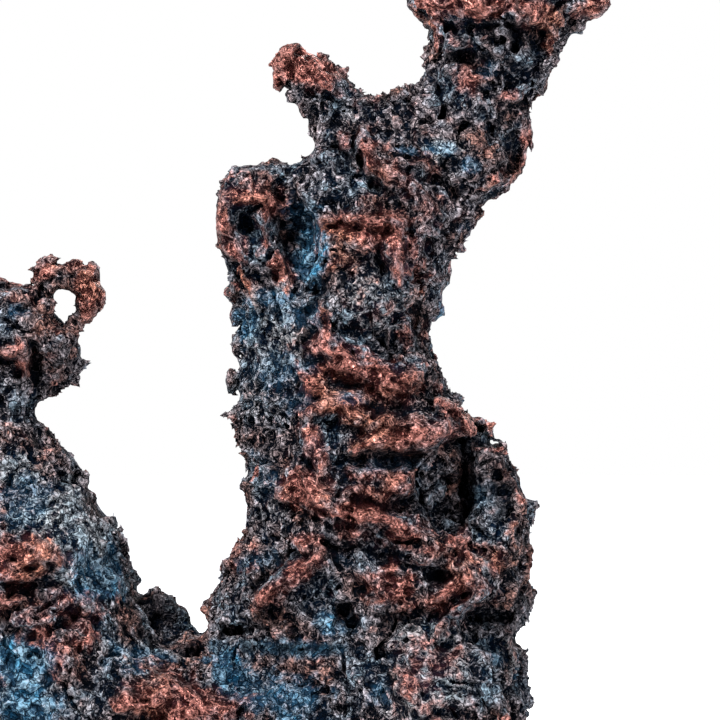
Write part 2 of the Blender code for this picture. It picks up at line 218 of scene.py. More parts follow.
# folds of bare metal: (half width, height, bare copper, wrinkles, points)
folds = (
    # shoulder: the open arch and its strands
    (0.8, 1.1, 1.0, 0.3,
     ((222, 232), (218, 215), (224, 202), (238, 196), (256, 196), (270, 203), (266, 216))),
    (0.7, 0.9, 0.9, 0.3, ((222, 225), (229, 240), (236, 252), (238, 262))),
    (0.7, 0.9, 0.5, 0.3, ((262, 210), (258, 225), (264, 240), (262, 250))),
    (0.6, 1.0, 0.95, 0.2, ((274, 260), (282, 272), (286, 290))),
    (0.5, 0.8, 1.0, 0.2, ((237, 270), (242, 282), (243, 292))),
    (1.0, 0.7, 0.3, 0.2, ((225, 182), (240, 175), (252, 166), (266, 172), (278, 176))),
    # squared ledge and its upright ridge
    (0.55, 1.4, 0.8, 0.2, ((318, 227), (335, 221), (360, 221), (385, 221), (408, 220))),
    (0.75, 1.7, 1.0, 0.4, ((394, 224), (396, 240), (396, 260), (396, 288))),
    (1.5, 0.4, 1.0, 0.3, ((350, 235), (372, 235), (394, 232))),
    (0.6, 0.9, 0.3, 0.2, ((319, 227), (323, 240), (325, 256))),
    (0.6, 0.6, 0.35, 0.2, ((415, 225), (420, 245), (424, 270))),
    # creases above it
    (0.8, 1.1, 0.5, 0.4,
     ((362, 142), (372, 160), (385, 172), (400, 182), (418, 196), (424, 215), (432, 240))),
    (0.9, 0.8, 0.5, 0.3, ((358, 135), (366, 146), (364, 160), (372, 170))),
    (0.6, 0.6, 0.3, 0.2, ((400, 160), (425, 166), (440, 178))),
    # spur
    (1.0, 0.5, 0.85, 0.3, ((278, 85), (275, 70), (281, 56), (292, 48))),
    (1.1, 0.6, 1.0, 0.4, ((285, 60), (300, 64), (315, 72), (325, 82))),
    (0.8, 0.6, 0.35, 0.2, ((325, 85), (345, 92), (360, 100))),
    (0.7, 0.8, 0.25, 0.2, ((335, 130), (342, 145), (352, 158), (358, 172))),
    # crown
    (1.1, 0.9, 1.0, 0.4, ((425, 8), (440, 6), (460, 8), (480, 10), (498, 6))),
    (0.9, 0.9, 0.9, 0.3, ((524, 4), (542, 16), (548, 26))),
    (0.8, 0.9, 0.65, 0.3, ((562, 10), (558, 30), (553, 50), (548, 62))),
    (0.8, 0.8, 0.95, 0.3, ((575, 12), (595, 8), (606, 4))),
    (0.7, 0.7, 0.5, 0.2, ((447, 35), (452, 46), (470, 50))),
    (1.0, 0.4, 0.5, 0.2, ((455, 75), (466, 78), (472, 92))),
    (0.8, 0.6, 0.55, 0.2, ((528, 118), (531, 140), (524, 158))),
    (0.8, 0.8, 0.5, 0.3, ((490, 190), (505, 182), (520, 172))),
    (0.8, 0.8, 0.12, 0.2, ((438, 62), (448, 80), (446, 98))),
    (0.7, 0.7, 0.3, 0.2, ((505, 100), (520, 96), (528, 88))),
    # trunk, from the top down
    (0.7, 0.8, 0.55, 0.2, ((324, 300), (318, 318), (320, 336))),
    (0.9, 1.0, 0.95, 0.4, ((322, 332), (319, 346), (330, 353), (345, 352))),
    (0.9, 1.2, 1.0, 0.4, ((320, 367), (340, 365), (360, 372), (380, 380), (400, 380), (425, 384))),
    (0.6, 0.8, 0.75, 0.2, ((360, 350), (368, 362), (385, 372))),
    (0.8, 1.0, 0.95, 0.3, ((300, 370), (310, 378), (318, 393))),
    (0.7, 0.9, 0.65, 0.3, ((345, 400), (370, 394), (395, 392), (412, 400))),
    (0.8, 0.6, 0.55, 0.3, ((404, 330), (418, 335), (412, 347))),
    (0.6, 0.6, 0.4, 0.2, ((418, 378), (427, 370), (430, 360))),
    (0.9, 1.0, 0.85, 0.4, ((304, 413), (325, 406), (345, 412), (362, 420))),
    (0.8, 1.6, 0.95, 0.4, ((358, 447), (385, 441), (410, 439), (435, 436), (461, 427))),
    (0.7, 0.8, 0.55, 0.5, ((355, 426), (380, 421), (410, 425), (440, 430))),
    (0.9, 1.0, 0.85, 0.4, ((306, 424), (312, 440), (318, 455), (322, 470))),
    (0.35, 0.5, 0.15, 0.1, ((345, 453), (375, 448), (410, 451), (440, 456))),
    (0.8, 0.8, 0.4, 0.4, ((350, 471), (375, 476), (400, 478), (415, 478))),
    (0.7, 1.2, 0.7, 0.3, ((350, 487), (375, 491), (400, 493), (418, 484))),
    (1.3, 1.2, 1.0, 0.5, ((283, 497), (298, 490), (312, 496), (326, 508))),
    (1.0, 1.0, 0.85, 0.4, ((300, 470), (308, 482), (315, 495))),
    (1.0, 1.3, 0.55, 0.6, ((318, 500), (345, 502), (365, 510), (390, 520), (415, 531), (440, 546))),
    (1.0, 0.9, 0.4, 0.6, ((335, 516), (360, 526), (385, 540), (410, 549), (430, 560))),
    (0.25, 0.6, 0.6, 0.0, ((345, 498), (362, 506), (378, 516), (398, 518))),
    (1.6, 0.5, 0.42, 0.5, ((375, 572), (395, 578), (415, 580))),
    (0.6, 0.7, 0.4, 0.2, ((368, 600), (390, 607), (410, 604), (425, 596))),
    (0.8, 1.4, 0.8, 0.4, ((322, 548), (312, 562), (298, 570), (280, 580), (265, 594), (258, 602))),
    (0.7, 0.6, 0.5, 0.3, ((295, 540), (310, 545), (322, 540))),
    (0.8, 0.6, 0.4, 0.2, ((215, 575), (225, 560), (240, 552), (255, 550))),
    # side lobe and the bar at its foot
    (1.2, 0.8, 0.65, 0.4, ((430, 602), (445, 592), (462, 580), (478, 590))),
    (0.7, 1.3, 0.5, 0.3, ((482, 595), (460, 606), (445, 618), (432, 636))),
    (0.6, 0.6, 0.9, 0.2, ((455, 538), (464, 538), (462, 550))),
    (0.8, 0.8, 0.95, 0.3, ((480, 442), (484, 429), (496, 424))),
    (0.6, 0.7, 0.45, 0.2, ((510, 470), (520, 490), (530, 505))),
    (0.6, 0.7, 0.6, 0.2, ((508, 531), (520, 529), (530, 522))),
    (0.8, 0.6, 0.4, 0.2, ((485, 552), (500, 556), (506, 566))),
    # foot
    (1.3, 1.3, 1.0, 0.6, ((122, 701), (145, 697), (165, 692), (185, 700), (205, 707), (232, 706))),
    (1.2, 1.0, 0.9, 0.5, ((172, 716), (200, 721), (228, 718))),
    (0.8, 0.7, 0.3, 0.3, ((236, 698), (248, 702), (256, 712))),
    (0.9, 0.6, 0.4, 0.3, ((395, 668), (410, 690), (420, 712))),
    (0.9, 0.6, 0.4, 0.3, ((430, 700), (450, 694), (470, 704))),
    # left limb
    (1.3, 1.1, 0.9, 0.5, ((4, 549), (25, 556), (45, 555), (58, 562))),
    (0.8, 0.8, 0.8, 0.3, ((0, 576), (25, 575), (45, 568))),
    (1.1, 1.0, 0.55, 0.4, ((20, 620), (45, 612), (65, 600), (90, 608), (100, 620))),
    (0.9, 0.8, 0.5, 0.3, ((45, 640), (58, 655), (60, 670))),
    (0.6, 0.5, 0.4, 0.2, ((28, 524), (40, 536))),
    # left head and its loop
    (1.2, 0.3, 0.7, 0.3, ((38, 275), (50, 262), (72, 262), (88, 275), (95, 295), (85, 312))),
    (0.9, 0.5, 0.35, 0.2, ((0, 295), (20, 292), (35, 285))),
    (0.8, 0.7, 0.75, 0.3, ((10, 345), (20, 352), (22, 374))),
    (0.7, 0.5, 0.3, 0.2, ((50, 325), (62, 330), (70, 340))),
)

# pits of the front: (centre, half width, half height, depth in millimetres)
pits = (
    ((300, 230), 18, 34, 1.2), ((318, 286), 9, 13, 1.1), ((246, 226), 11, 20, 1.4),
    ((466, 56), 13, 14, 1.6), ((540, 66), 6, 12, 1.0), ((362, 160), 4, 16, 1.5), ((375, 188), 8, 10, 1.1),
    ((390, 461), 48, 8, 1.1), ((468, 480), 10, 45, 1.6), ((440, 574), 14, 9, 1.9), ((344, 607), 9, 8, 1.0),
    ((353, 624), 7, 11, 0.9), ((490, 616), 36, 14, 1.5), ((350, 560), 9, 14, 1.0),
    ((240, 632), 30, 10, 1.0), ((33, 365), 8, 20, 1.7), ((158, 625), 26, 16, 1.0), ((300, 682), 14, 7, 1.0),
    ((30, 584), 34, 3, 0.9), ((395, 503), 25, 6, 0.9), ((505, 690), 14, 13, 0.9), ((270, 205), 6, 10, 0.9),
    ((432, 175), 6, 9, 0.9), ((455, 190), 8, 9, 1.0), ((500, 40), 8, 7, 0.9), ((515, 38), 5, 22, 1.4),
    ((574, 24), 4, 16, 1.3), ((486, 25), 22, 3, 1.1), ((345, 385), 14, 4, 0.8), ((352, 430), 10, 5, 0.8),
    ((335, 440), 8, 9, 0.8),
)

# patina of the front: (centre, half width, half height, strength)
bluePatches = (
    ((310, 250), 20, 48, 1.0), ((300, 215), 22, 20, 0.6), ((440, 150), 20, 9, 0.5),
    ((470, 165), 18, 9, 0.45), ((405, 150), 14, 7, 0.6), ((490, 70), 14, 12, 0.45),
    ((275, 300), 25, 15, 0.5), ((245, 325), 16, 25, 0.6), ((300, 315), 30, 15, 0.5),
    ((280, 370), 40, 25, 0.35), ((350, 398), 24, 9, 0.6), ((395, 465), 45, 9, 0.45),
    ((325, 620), 12, 16, 0.7), ((350, 625), 16, 12, 0.45), ((290, 647), 70, 10, 0.7),
    ((230, 667), 22, 25, 0.9), ((205, 650), 20, 12, 0.6), ((250, 690), 26, 24, 0.5),
    ((290, 690), 44, 24, 0.65), ((20, 660), 46, 30, 0.9), ((300, 400), 24, 20, 0.3),
    ((470, 240), 14, 20, 0.2), ((490, 660), 15, 12, 0.5), ((380, 690), 14, 16, 0.5),
    ((290, 716), 20, 8, 0.9), ((90, 570), 30, 36, 0.5), ((20, 500), 40, 30, 0.4), ((92, 590), 26, 12, 0.7),
    ((20, 655), 42, 22, 0.8), ((30, 702), 42, 25, 0.75), ((130, 660), 40, 12, 0.4),
    ((15, 310), 15, 10, 0.5), ((265, 560), 18, 14, 0.35), ((480, 495), 26, 16, 0.3),
    ((250, 370), 16, 14, 0.3), ((270, 480), 20, 20, 0.25), ((345, 560), 12, 8, 0.2),
)
palePatches = (
    ((60, 520), 66, 40, 0.85), ((15, 470), 36, 26, 0.7), ((85, 580), 34, 40, 0.8),
    ((268, 340), 40, 60, 0.6), ((428, 685), 46, 34, 0.75), ((20, 690), 40, 26, 0.5),
    ((420, 625), 30, 14, 0.5), ((240, 400), 20, 30, 0.4), ((270, 500), 24, 36, 0.4),
    ((440, 150), 26, 14, 0.7), ((360, 110), 26, 14, 0.4), ((500, 520), 24, 40, 0.2),
    ((425, 640), 44, 20, 0.5), ((440, 682), 30, 13, 0.6), ((505, 650), 22, 16, 0.5),
    ((250, 318), 20, 26, 0.5), ((470, 535), 22, 9, 0.5), ((254, 186), 11, 12, 0.6),
    ((376, 186), 10, 10, 0.5), ((300, 350), 30, 22, 0.35), ((372, 296), 44, 40, 0.5),
    ((440, 150), 18, 8, 0.6), ((326, 618), 11, 16, 0.5), ((130, 650), 60, 12, 0.4),
    ((60, 700), 50, 20, 0.25), ((480, 560), 30, 30, 0.25), ((270, 400), 34, 30, 0.25),
    ((400, 705), 20, 16, 0.4), ((150, 665), 20, 12, 0.3),
)

# bare copper of the front: (centre, half width, half height, strength)
copperPatches = (
    ((300, 65), 28, 22, 1.0), ((340, 72), 14, 12, 0.4), ((480, 10), 25, 12, 0.9), ((545, 12), 20, 16, 0.9),
    ((502, 8), 14, 9, 0.7), ((592, 8), 18, 9, 0.9), ((420, 6), 20, 8, 0.7), ((465, 78), 14, 18, 0.6),
    ((552, 45), 10, 18, 0.7), ((512, 95), 12, 8, 0.6), ((527, 138), 10, 24, 0.7), ((502, 178), 16, 14, 0.6),
    ((248, 198), 26, 8, 1.0), ((223, 222), 10, 24, 0.9), ((265, 240), 10, 16, 0.7),
    ((280, 272), 10, 14, 0.9), ((238, 280), 8, 12, 0.8), ((345, 228), 34, 9, 0.9),
    ((390, 234), 22, 14, 1.0), ((398, 262), 10, 24, 0.8), ((412, 255), 10, 34, 0.6),
    ((368, 268), 36, 30, 0.2), ((366, 150), 12, 14, 0.7), ((395, 178), 30, 20, 0.5),
    ((430, 200), 20, 20, 0.4), ((345, 142), 8, 14, 0.6), ((325, 322), 8, 24, 0.8),
    ((410, 337), 16, 14, 0.8), ((345, 355), 30, 14, 0.9), ((360, 372), 50, 16, 0.9),
    ((385, 388), 40, 10, 0.8), ((312, 385), 12, 14, 0.9), ((428, 385), 10, 12, 0.7),
    ((340, 408), 30, 12, 0.8), ((380, 434), 26, 12, 0.8), ((430, 434), 32, 9, 0.8),
    ((312, 440), 14, 24, 0.8), ((320, 460), 10, 12, 0.6), ((305, 490), 30, 22, 1.0),
    ((360, 512), 36, 14, 0.9), ((400, 532), 30, 16, 0.8), ((430, 550), 16, 12, 0.6),
    ((395, 480), 24, 9, 0.7), ((362, 478), 18, 8, 0.5), ((392, 582), 30, 26, 0.75),
    ((350, 530), 20, 12, 0.5), ((305, 540), 22, 12, 0.6), ((296, 570), 26, 14, 0.8),
    ((265, 596), 12, 10, 0.8), ((465, 542), 14, 10, 0.8), ((496, 560), 14, 18, 0.7),
    ((460, 590), 26, 16, 0.8), ((442, 605), 18, 10, 0.6), ((410, 675), 14, 26, 0.6),
    ((425, 665), 44, 44, 0.4), ((375, 310), 46, 20, 0.3), ((345, 262), 24, 22, 0.3),
    ((489, 430), 12, 12, 0.8), ((522, 497), 10, 10, 0.7), ((516, 526), 9, 6, 0.6), ((530, 560), 6, 30, 0.4),
    ((46, 268), 14, 14, 0.7), ((86, 285), 18, 26, 1.0), ((15, 297), 16, 10, 0.5), ((18, 358), 10, 14, 0.7),
    ((20, 562), 30, 20, 0.9), ((32, 537), 12, 8, 0.8), ((80, 622), 26, 30, 0.6), ((40, 635), 22, 16, 0.7),
    ((62, 655), 12, 14, 0.6), ((186, 707), 54, 14, 1.0), ((160, 700), 40, 10, 0.8),
    ((230, 712), 24, 12, 0.7), ((330, 590), 20, 10, 0.3), ((245, 560), 24, 16, 0.3),
)


# smoother sheets of the front, and places where the outline is trimmed (below 0) or filled
calmPatches = (
    ((365, 256), 48, 38, 0.6), ((392, 582), 30, 26, 1.0), ((398, 185), 28, 18, 0.8),
    ((300, 65), 24, 14, 0.5), ((460, 590), 22, 14, 0.8), ((425, 665), 44, 40, 0.3),
    ((70, 282), 40, 30, 0.8), ((385, 525), 44, 22, 0.6), ((180, 704), 62, 16, 1.0),
)
# places on the front painted dark as shade, in gaps, crevices and under overhangs: (centre, half width, half
# height, strength)
paintedShadePatches = (
    ((290, 648), 74, 9, 1.0), ((502, 485), 20, 40, 0.85), ((480, 95), 40, 30, 0.3),
    ((500, 50), 50, 22, 0.45), ((30, 600), 34, 9, 0.6), ((345, 690), 14, 18, 0.4), ((210, 690), 20, 8, 0.3),
    ((325, 290), 10, 14, 0.7), ((160, 610), 30, 24, 0.95), ((277, 235), 5, 60, 0.7),
    ((350, 150), 8, 20, 0.8), ((505, 165), 12, 14, 0.6), ((470, 440), 10, 14, 0.8),
    ((466, 490), 12, 40, 0.9), ((490, 618), 36, 14, 0.8), ((368, 110), 14, 12, 0.5),
    ((335, 540), 14, 20, 0.6), ((122, 565), 12, 34, 0.5), ((32, 368), 8, 24, 0.8), ((8, 410), 12, 12, 0.7),
    ((440, 576), 13, 9, 0.95), ((344, 606), 10, 8, 0.6), ((353, 622), 8, 12, 0.6), ((445, 510), 14, 9, 0.8),
    ((440, 105), 14, 8, 0.5), ((525, 40), 20, 16, 0.5), ((463, 38), 12, 10, 0.7), ((515, 38), 6, 24, 0.9),
    ((574, 26), 5, 16, 0.85), ((560, 10), 7, 16, 0.7), ((486, 25), 24, 4, 0.9), ((545, 75), 8, 14, 0.6),
    ((260, 455), 12, 20, 0.4), ((232, 505), 10, 24, 0.4), ((520, 610), 12, 20, 0.5),
    ((435, 190), 8, 8, 0.6), ((275, 610), 24, 10, 0.5), ((385, 615), 12, 8, 0.6), ((300, 165), 16, 10, 0.6),
    ((425, 310), 8, 20, 0.5),
)
trims = (
    ((303, 146), 14, 12, -1.6), ((248, 160), 22, 8, -1.3), ((288, 157), 24, 6, -1.0),
    ((210, 218), 8, 34, -1.3), ((222, 262), 7, 10, -0.8), ((15, 279), 24, 9, -1.2),
    ((104, 278), 8, 18, -1.1), ((75, 252), 26, 6, -0.8), ((84, 345), 9, 12, -1.2), ((86, 378), 7, 9, -0.8),
    ((42, 412), 14, 12, -1.6), ((98, 482), 14, 30, -1.5), ((138, 592), 12, 10, -0.9),
    ((186, 602), 18, 14, -1.8), ((198, 626), 8, 13, -1.7), ((166, 592), 12, 7, -1.2),
    ((242, 510), 8, 20, -1.0), ((224, 553), 10, 12, -0.9), ((492, 205), 14, 12, -1.5),
    ((84, 462), 9, 10, -0.8), ((450, 300), 10, 16, -1.6), ((466, 410), 8, 10, -0.9),
    ((530, 480), 12, 22, -1.2), ((537, 578), 7, 14, -0.8), ((525, 642), 10, 16, -1.6),
    ((578, 38), 10, 12, -1.2), ((426, 30), 7, 14, -1.0), ((418, 76), 10, 10, -0.9),
    ((534, 530), 6, 16, -0.5), ((0, 279), 14, 10, -0.8), ((227, 292), 7, 14, 1.1), ((227, 372), 7, 12, 1.1),
    ((223, 415), 7, 8, 1.0), ((290, 46), 16, 6, 1.0), ((291, 96), 7, 9, 0.8), ((234, 315), 7, 12, 1.0),
    ((228, 388), 7, 9, 1.0), ((412, 4), 7, 8, 1.0), ((543, 88), 6, 8, 0.8), ((274, 86), 6, 14, 0.9),
    ((302, 108), 7, 12, 1.0), ((70, 284), 22, 8, 1.1), ((81, 302), 9, 15, 1.1), ((88, 270), 9, 8, 0.9),
    ((50, 285), 7, 5, 1.0), ((73, 291), 6, 5, 0.8), ((58, 318), 6, 6, -0.5), ((47, 300), 9, 14, 1.3),
    ((350, 66), 7, 7, 0.7), ((372, 248), 26, 18, 1.0), ((58, 275), 13, 6, 1.0), ((505, 446), 9, 12, 0.9),
    ((512, 188), 6, 6, 0.6),
)


def smooth2d(u, v, shift):
    flatPoints = np.stack([u.ravel(), v.ravel(), np.full(u.size, shift)], axis=1).astype(np.float32)
    return clouds(flatPoints, 1.0).reshape(u.shape)


def chartWindow(low, high):
    # the chart's cells between two corners, with their places
    start = np.clip(np.floor((low - lowCorner[[0, 2]]) / chart["unit"]).astype(int), 0, None)
    stop = np.minimum(np.ceil((high - lowCorner[[0, 2]]) / chart["unit"]).astype(int), chartShape)
    xs = lowCorner[0] + np.arange(start[0], stop[0]) * chart["unit"]
    zs = lowCorner[2] + np.arange(start[1], stop[1]) * chart["unit"]
    return (slice(start[0], stop[0]), slice(start[1], stop[1])), *np.meshgrid(xs, zs, indexing="ij")


def foldDistance(x, z, points):
    # how far across and along a fold each cell lies
    across = np.full(x.shape, 99.0)
    along = np.zeros(x.shape)
    walked = 0.0
    for a, b in zip(points, points[1:]):
        run = b - a
        length = np.hypot(*run)
        share = np.clip(((x - a[0]) * run[0] + (z - a[1]) * run[1]) / length ** 2, 0, 1)
        offX, offZ = x - a[0] - share * run[0], z - a[1] - share * run[1]
        distance = np.hypot(offX, offZ)
        side = np.sign(run[0] * offZ - run[1] * offX)
        closer = distance < np.abs(across)
        across = np.where(closer, distance * side, across)
        along = np.where(closer, walked + share * length, along)
        walked += length
    return across, along, walked


# what each chart holds; one of them is painted shade, for deep pits, the grooves under folds and shadowed
# places
sheetKeys = ("height", "trim", "ripple", "copper", "sheen", "blue", "pale", "paintedShade")

# how every fold is drawn: lengths in millimetres, the rest as shares of its width or height
foldForm = {
    "bends": ((1.3, 3.1, 1.0), (0.5, 2.9, 0.5)),  # its path wanders: (spacing, seed, reach)
    "taper": 1.4,  # its ends narrow to half over this length
    "widths": (0.65, 0.7),  # the least width and what chance adds, every 1.5 millimetres
    "heights": (0.55, 0.9),  # so too the height, every 0.9 millimetres
    "above": 1.35,  # gentle above
    "below": 0.8,  # steep below
    "edge": 1.7,  # how squarely its top falls off
    "grooveAt": 1.7,  # the groove under it, painted dark as shade
    "grooveWidth": 0.6,
    "grooveDepth": 0.55,
    # how dark the shade painted in that groove is
    "grooveShade": 0.6,
    "bareWidth": 1.5,  # how far bare metal spreads
    "bareShare": 0.8,
    "ripples": (0.3, 0.7),  # what every fold has, and what its wrinkles add
    "sheen": (0.35, 0.6),  # what every fold has, and what its bare copper adds
}


def drawFolds(sheet, folds):
    for number, (halfWidth, height, copper, wrinkle, spots) in enumerate(folds):
        points = [placeOn(spot) for spot in spots]
        reach = halfWidth * 3 + 0.6
        low, high = np.min(points, axis=0) - reach, np.max(points, axis=0) + reach
        cells, x, z = chartWindow(low, high)
        if 0 in x.shape:
            continue
        bend = sum((smooth2d(x / spacing, z / spacing, number * seed) - 0.5) * reach
                   for spacing, seed, reach in foldForm["bends"])
        across, along, length = foldDistance(x + bend, z + bend, points)
        narrow = 0.5 + 0.5 * np.clip(np.minimum(along, length - along) / foldForm["taper"], 0, 1)
        least, more = foldForm["widths"]
        width = halfWidth * narrow * (least + more * smooth2d(along / 1.5, across * 0, number * 1.7))
        slope = np.where(across > 0, foldForm["above"], foldForm["below"]) * width
        least, more = foldForm["heights"]
        profile = np.exp(-(np.abs(across) / slope) ** foldForm["edge"])
        profile *= least + more * smooth2d(along / 0.9, across / 2.0, number * 0.9)
        wide = np.exp(-(across / (slope * foldForm["bareWidth"])) ** 2)
        fromGroove = (across + width * foldForm["grooveAt"]) / (width * foldForm["grooveWidth"])
        groove = np.exp(-fromGroove ** 2) * narrow
        ripple = 1 - np.abs(2 * smooth2d(along * 0.45 + 9, across * 1.5, number * 5.3) - 1) * 2
        sheet["height"][cells] += (profile - groove * foldForm["grooveDepth"]) * height
        # painted shade in the groove under the fold
        sheet["paintedShade"][cells] = np.maximum(sheet["paintedShade"][cells], groove * foldForm["grooveShade"])
        least, more = foldForm["ripples"]
        sheet["ripple"][cells] += wide * ripple * (least + wrinkle * more)
        sheet["copper"][cells] = np.maximum(sheet["copper"][cells], wide * copper * foldForm["bareShare"])
        least, more = foldForm["sheen"]
        sheet["sheen"][cells] = np.maximum(sheet["sheen"][cells], wide * min(1.0, least + copper * more))


# how every patch is drawn
patchForm = {
    "ragged": ((1.1, 2.3), (0.45, 4.1)),  # its rim wanders: (spacing, seed)
    "wander": 0.6,  # by this share of its size
    "rim": (-1.15, -0.35),  # where it fades out, as shares of its half size
}


def drawPatches(sheet, key, patches):
    for number, patch in enumerate(patches):
        centre, halfWidth, halfHeight, strength = patch
        middle = placeOn(centre)
        half = np.array((halfWidth, halfHeight)) * chart["unit"]
        cells, x, z = chartWindow(middle - half * 1.5, middle + half * 1.5)
        if 0 in x.shape:
            continue
        ragged = sum(smooth2d(x / size, z / size, number * seed) for size, seed in patchForm["ragged"]) - 1.0
        away = np.hypot((x - middle[0]) / half[0], (z - middle[1]) / half[1]) + ragged * patchForm["wander"]
        inside = ramp(-away, *patchForm["rim"]) * strength
        if key in ("height", "trim"):
            sheet[key][cells] += inside
        else:
            sheet[key][cells] = np.maximum(sheet[key][cells], inside)


def drawPits(sheet, pits, shadeFrom=0.9):
    # a pit is sunk, and one deeper than the given depth is painted dark as shade
    drawPatches(sheet, "height", [(*pit[:3], -pit[3]) for pit in pits])
    drawPatches(sheet, "paintedShade", [(*pit[:3], min(max(pit[3] - shadeFrom, 0), 1)) for pit in pits])


frontSheet = {key: np.zeros(chartShape, np.float32) for key in sheetKeys}
drawFolds(frontSheet, folds)
drawPits(frontSheet, pits)
drawPatches(frontSheet, "trim", trims)
drawPatches(frontSheet, "sheen", calmPatches)
drawPatches(frontSheet, "paintedShade", paintedShadePatches)
drawPatches(frontSheet, "blue", bluePatches)
drawPatches(frontSheet, "pale", palePatches)
drawPatches(frontSheet, "copper", copperPatches)
say("front chart drawn")


# what is strewn by chance: half sizes in the chart's units, then strengths
strewnSizes = {
    "pits": ((6, 20), (0.8, 1.8)),
    "blue": ((12, 36), (0.4, 1.0)),
    "pale": ((14, 40), (0.3, 0.8)),
    "copper": ((8, 30), (0.4, 1.0)),
}
# and how a fold is: its runs in the chart's units, its forms as in the list of folds
strewnFold = {
    "heading": (-0.6, 0.9),  # radians down from level
    "runs": (2, 5),  # from two runs to four
    "bend": (-0.5, 0.5),
    "run": (12, 24),
    "forms": ((0.6, 1.2), (0.7, 1.4), (0.1, 1.0)),
    "wrinkles": 0.4,
}


def strewnFolds(count, across, down):
    made = []
    for _ in range(count):
        spot = np.array((chance.uniform(*across), chance.uniform(*down)))
        heading = chance.uniform(*strewnFold["heading"])
        spots = [tuple(spot)]
        for _ in range(chance.integers(*strewnFold["runs"])):
            heading += chance.uniform(*strewnFold["bend"])
            spot = spot + chance.uniform(*strewnFold["run"]) * np.array((np.cos(heading), np.sin(heading)))
            spots.append(tuple(spot))
        made.append((*(chance.uniform(*form) for form in strewnFold["forms"]), strewnFold["wrinkles"], spots))
    return made


def strewn(count, across, down, sizes, strengths):
    return [((chance.uniform(*across), chance.uniform(*down)), chance.uniform(*sizes),
             chance.uniform(*sizes), chance.uniform(*strengths)) for _ in range(count)]


def strewOver(sheet, across, down, counts):
    # folds, pits and patches strewn by chance over a stretch of a chart
    drawFolds(sheet, strewnFolds(counts["folds"], across, down))
    drawPits(sheet, strewn(counts["pits"], across, down, *strewnSizes["pits"]))
    for key in ("blue", "pale", "copper"):
        drawPatches(sheet, key, strewn(counts[key], across, down, *strewnSizes[key]))


backSheet = {key: np.zeros(chartShape, np.float32) for key in sheetKeys}
drawPatches(backSheet, "trim", trims)
strewOver(backSheet, (-70, 610), (-60, 800), {"folds": 80, "pits": 60, "blue": 45, "pale": 30, "copper": 50})
# the front has them too on the crown's top, the foot's lowest part and the left limb's outer side
strewOver(frontSheet, (430, 600), (-60, -25), {"folds": 5, "pits": 3, "blue": 2, "pale": 2, "copper": 4})
strewOver(frontSheet, (-50, 500), (752, 815), {"folds": 22, "pits": 10, "blue": 8, "pale": 6, "copper": 10})
strewOver(frontSheet, (-72, -38), (300, 720), {"folds": 8, "pits": 5, "blue": 4, "pale": 4, "copper": 4})

# where the front and the back of the plain nugget lie, on the chart
inside = plain < 0
count = inside.shape[1]
frontCell = np.where(inside.any(axis=1), inside.argmax(axis=1), count // 2)
backCell = np.where(inside.any(axis=1), count - 1 - inside[:, ::-1].argmax(axis=1), count // 2)
frontDepth = blurred((lowCorner[1] + frontCell * grid["coarse"]).astype(np.float32), 2)
backDepth = blurred((lowCorner[1] + backCell * grid["coarse"]).astype(np.float32), 2)


def turnedAside(depth):
    # 1 on the nugget's steep sides, 0 where it faces the viewer or lies just behind what does
    steepness = np.hypot(*np.gradient(depth, grid["coarse"])).astype(np.float32)
    slope = ramp(blurred(steepness, 1), *chart["aside"])
    nearest = depth
    for _ in range(chart["foremost"]):
        for axis in (0, 1):
            around = np.minimum(np.roll(nearest, 1, axis), np.roll(nearest, -1, axis))
            nearest = np.minimum(nearest, around)
    return slope * ramp(depth - nearest, *chart["setBack"])


frontAside, backAside = turnedAside(frontDepth), turnedAside(-backDepth)


def cellsAt(flat, unit, shape):
    cell = np.clip(np.rint(flat / unit).astype(int), 0, np.array(shape) - 1)
    return cell[:, 0], cell[:, 1]


def readSheets(points, keys):
    # the charts' values at each point, the front's or the back's by how near it lies to each
    flat = points[:, [0, 2]] - lowCorner[[0, 2]].astype(np.float32)
    rough = cellsAt(flat, grid["coarse"], frontDepth.shape)
    behindFront = points[:, 1] - frontDepth[rough]
    beforeBack = backDepth[rough] - points[:, 1]
    frontShare = (1 - ramp(behindFront, *chart["fade"])) * (behindFront < beforeBack + chart["frontLead"])
    backShare = (1 - ramp(beforeBack, *chart["fade"])) * (1 - frontShare)
    aside = np.where(frontShare > backShare, frontAside[rough], backAside[rough]) * chart["drift"]
    drift = [(clouds(points, chart["driftSpacing"], seed) - 0.5) * aside for seed in chart["driftSeeds"]]
    still = cellsAt(flat, chart["unit"], chartShape)
    moved = cellsAt(flat + np.stack(drift, axis=1), chart["unit"], chartShape)
    looks = {}
    for key in keys:
        cells = still if key == "trim" else moved
        looks[key] = frontSheet[key][cells] * frontShare + backSheet[key][cells] * backShare
    return looks


# the granular skin: (spacing, height) of each size of form
skin = {
    "knobs": (4.4, 1.1),
    "lumps": (2.1, 0.75),
    "crinkles": (1.1, 0.95),
    "grains": (0.56, 0.5),
    "clefts": (2.8, 0.85),
    "sink": 0.12,  # all of it lies this much lower
    "level": 0.6,  # how far from its seed a pebble meets the plain surface
    "broadWarp": (2.6, 1.2, 0.0),  # how forms are bent: (spacing, reach, seed)
    "fineWarp": (0.9, 0.45, 1.9),
    "broadCalm": 0.85,  # how much smoother the bare sheets are
    "fineCalm": 0.45,
    "stays": 0.4,  # the share of knobs and grains that no sheet smooths away
    "turns": (5.0, 2.3),  # where crinkles run another way: (spacing, seed)
    "cleftSteep": (0.72, 0.95),  # how sharply a cleft's sides drop
    "cleftRegions": (6.0, 1.7),  # where clefts are: (spacing, seed)
}


def warped(points, spacing, reach, seed):
    bent = points.copy()
    for axis in range(3):
        bent[:, axis] += (clouds(points, spacing, seed + 0.73 * axis) - 0.5) * reach
    return bent


